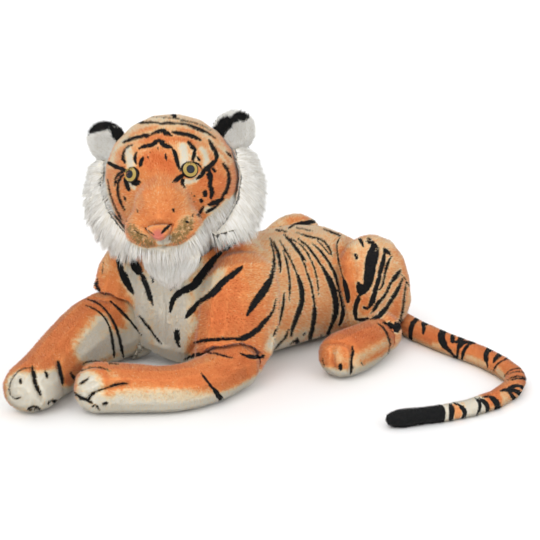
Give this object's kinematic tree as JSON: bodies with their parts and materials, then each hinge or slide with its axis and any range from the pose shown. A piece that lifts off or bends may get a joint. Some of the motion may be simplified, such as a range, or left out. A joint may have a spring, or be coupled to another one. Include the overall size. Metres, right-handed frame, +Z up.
{
  "type": "plush tiger",
  "caption": "Stuffed plush tiger lying on its belly, with striped pile covers over stuffing, a long white ruff, plastic eyes and seams that flex.",
  "frame": {"origin": "middle of the flat under the belly, where the toy rests", "axes": "+Z up, -Y the way the tiger's body faces, +X its left side, to which the head and tail turn"},
  "size_m": [0.7641, 0.8095, 0.4486],
  "materials": {
    "orange_pile": "short printed pile with black stripes",
    "white_pile": "short pale pile",
    "black_pile": "short black pile",
    "long_white_pile": "long combed pile",
    "stuffing": "polyester fibre filling",
    "nose_pile": "very short pink pile",
    "eye_plastic": "glossy, olive iris with a dark pupil",
    "washer_plastic": "moulded"
  },
  "bodies": {
    "torso": {"torso_cover_left": "orange_pile", "torso_cover_right": "orange_pile", "belly_panel": "white_pile", "torso_stuffing": "stuffing", "shoulder_left": "orange_pile", "shoulder_stuffing_left": "stuffing", "shoulder_right": "orange_pile", "shoulder_stuffing_right": "stuffing", "thigh_left": "orange_pile", "thigh_stuffing_left": "stuffing", "thigh_right": "orange_pile", "thigh_stuffing_right": "stuffing"},
    "neck": {"neck_stuffing": "stuffing"},
    "head": {"head_cover": "orange_pile", "head_stuffing": "stuffing", "muzzle": "orange_pile", "muzzle_stuffing": "stuffing", "nose": "nose_pile", "chin": "white_pile", "beard": "long_white_pile", "ruff_left": "long_white_pile", "eye_left": "eye_plastic", "eye_washer_left": "washer_plastic", "ruff_right": "long_white_pile", "eye_right": "eye_plastic", "eye_washer_right": "washer_plastic"},
    "ear_left": {"ear_front_left": "white_pile", "ear_back_left": "black_pile"},
    "ear_right": {"ear_front_right": "white_pile", "ear_back_right": "black_pile"},
    "foreleg_left": {"forearm_left": "orange_pile", "forearm_stuffing_left": "stuffing", "forepaw_left": "white_pile", "forepaw_stuffing_left": "stuffing"},
    "foreleg_right": {"forearm_right": "orange_pile", "forearm_stuffing_right": "stuffing", "forepaw_right": "white_pile", "forepaw_stuffing_right": "stuffing"},
    "hind_foot_left": {"hind_foot_left": "white_pile", "hind_foot_stuffing_left": "stuffing"},
    "hind_foot_right": {"hind_foot_right": "white_pile", "hind_foot_stuffing_right": "stuffing"},
    "tail_base": {"tail_base": "orange_pile"},
    "tail_bend": {"tail_bend": "orange_pile"},
    "tail_end": {"tail_end": "white_pile", "tail_tip": "black_pile"}
  },
  "joints": [
    {"name": "neck_nod", "type": "hinge", "parent": "torso", "child": "neck", "pos_m": [0.02802, -0.19214, 0.256], "axis": [0.6756, 0.7373, 0], "range_deg": [-6, 6], "stiffness_Nm_per_rad": 8},
    {"name": "neck_turn", "type": "hinge", "parent": "neck", "child": "head", "pos_m": [0.02802, -0.19214, 0.256], "axis": [0, 0, 1], "range_deg": [-14, 14], "stiffness_Nm_per_rad": 4},
    {"name": "ear_fold_left", "type": "hinge", "parent": "head", "child": "ear_left", "pos_m": [0.07029, -0.12979, 0.40139], "axis": [-0.27, -0.511, 0.8161], "range_deg": [-15, 15], "stiffness_Nm_per_rad": 0.3},
    {"name": "ear_fold_right", "type": "hinge", "parent": "head", "child": "ear_right", "pos_m": [-0.05207, -0.26332, 0.38395], "axis": [-0.373, -0.191, -0.908], "range_deg": [-15, 15], "stiffness_Nm_per_rad": 0.3},
    {"name": "foreleg_swing_left", "type": "hinge", "parent": "torso", "child": "foreleg_left", "pos_m": [0.16048, -0.17908, 0.04282], "axis": [0, 0, 1], "range_deg": [0, 16], "stiffness_Nm_per_rad": 3},
    {"name": "foreleg_swing_right", "type": "hinge", "parent": "torso", "child": "foreleg_right", "pos_m": [-0.08968, -0.242, 0.0641], "axis": [0, 0, 1], "range_deg": [-16, 0], "stiffness_Nm_per_rad": 3},
    {"name": "hind_foot_swing_left", "type": "hinge", "parent": "torso", "child": "hind_foot_left", "pos_m": [0.18408, 0.13068, 0.0395], "axis": [0, 0, 1], "range_deg": [-8, 8], "stiffness_Nm_per_rad": 2},
    {"name": "hind_foot_swing_right", "type": "hinge", "parent": "torso", "child": "hind_foot_right", "pos_m": [-0.18408, 0.13068, 0.0395], "axis": [0, 0, 1], "range_deg": [-8, 8], "stiffness_Nm_per_rad": 2},
    {"name": "tail_swing", "type": "hinge", "parent": "torso", "child": "tail_base", "pos_m": [0, 0.2325, 0.0373], "axis": [0, 0, 1], "range_deg": [0, 24], "stiffness_Nm_per_rad": 0.8},
    {"name": "tail_curl", "type": "hinge", "parent": "tail_base", "child": "tail_bend", "pos_m": [0.2446, 0.22468, 0.01879], "axis": [0, 0, 1], "range_deg": [-8, 20], "stiffness_Nm_per_rad": 0.6},
    {"name": "tail_tip_curl", "type": "hinge", "parent": "tail_bend", "child": "tail_end", "pos_m": [0.44055, 0.19607, 0.01653], "axis": [0, 0, 1], "range_deg": [-15, 20], "stiffness_Nm_per_rad": 0.4}
  ]
}
